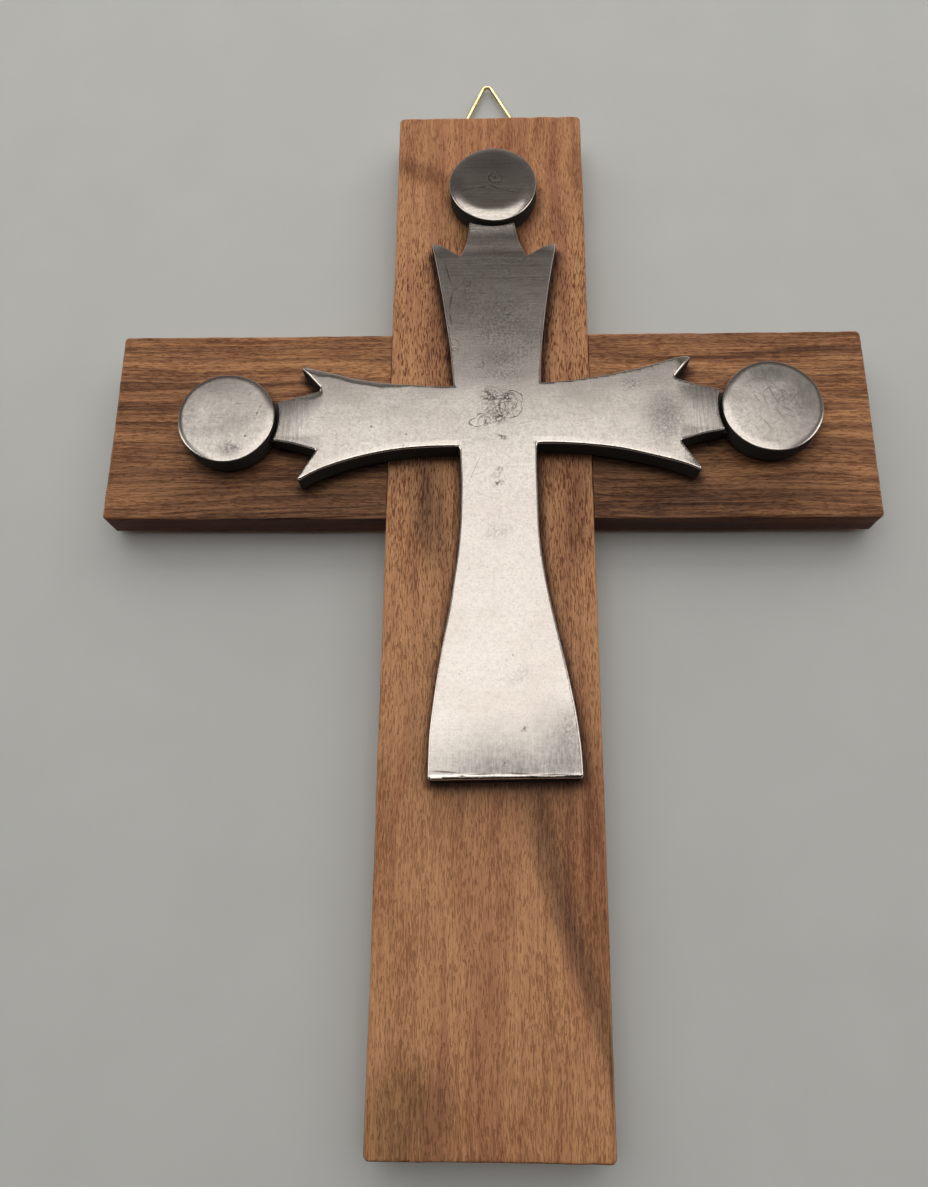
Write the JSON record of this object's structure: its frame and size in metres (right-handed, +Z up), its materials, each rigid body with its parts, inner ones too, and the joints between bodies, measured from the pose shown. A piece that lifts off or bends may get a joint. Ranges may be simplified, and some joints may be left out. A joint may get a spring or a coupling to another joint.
{
  "type": "wall cross",
  "caption": "Wooden wall cross of two lapped walnut boards, with a flared cast metal cross on its front and a brass wire loop at the back to hang it by.",
  "frame": {"origin": "middle of the beam's back, on the wall plane", "axes": "+Z up as the cross hangs, +X to the right of someone who faces it, +Y into the wall, so the front faces -Y"},
  "size_m": [0.2255, 0.021, 0.3319],
  "materials": {
    "walnut upright": "oiled, satin",
    "walnut beam": "oiled, satin",
    "cast metal": "cast, filed and polished by hand, worn",
    "brass": "bright"
  },
  "bodies": {
    "cross": {"upright_board": "walnut upright", "cross_beam": "walnut beam", "metal_cross": "cast metal", "hanger_plate": "brass", "hanger_nail_left": "brass", "hanger_nail_right": "brass"},
    "loop": {"hanger_loop": "brass"}
  },
  "joints": [
    {"name": "loop_swing", "type": "hinge", "parent": "cross", "child": "loop", "pos_m": [0.0005, 0.00085, 0.1065], "axis": [-1, 0, 0], "range_deg": [0, 180]}
  ]
}
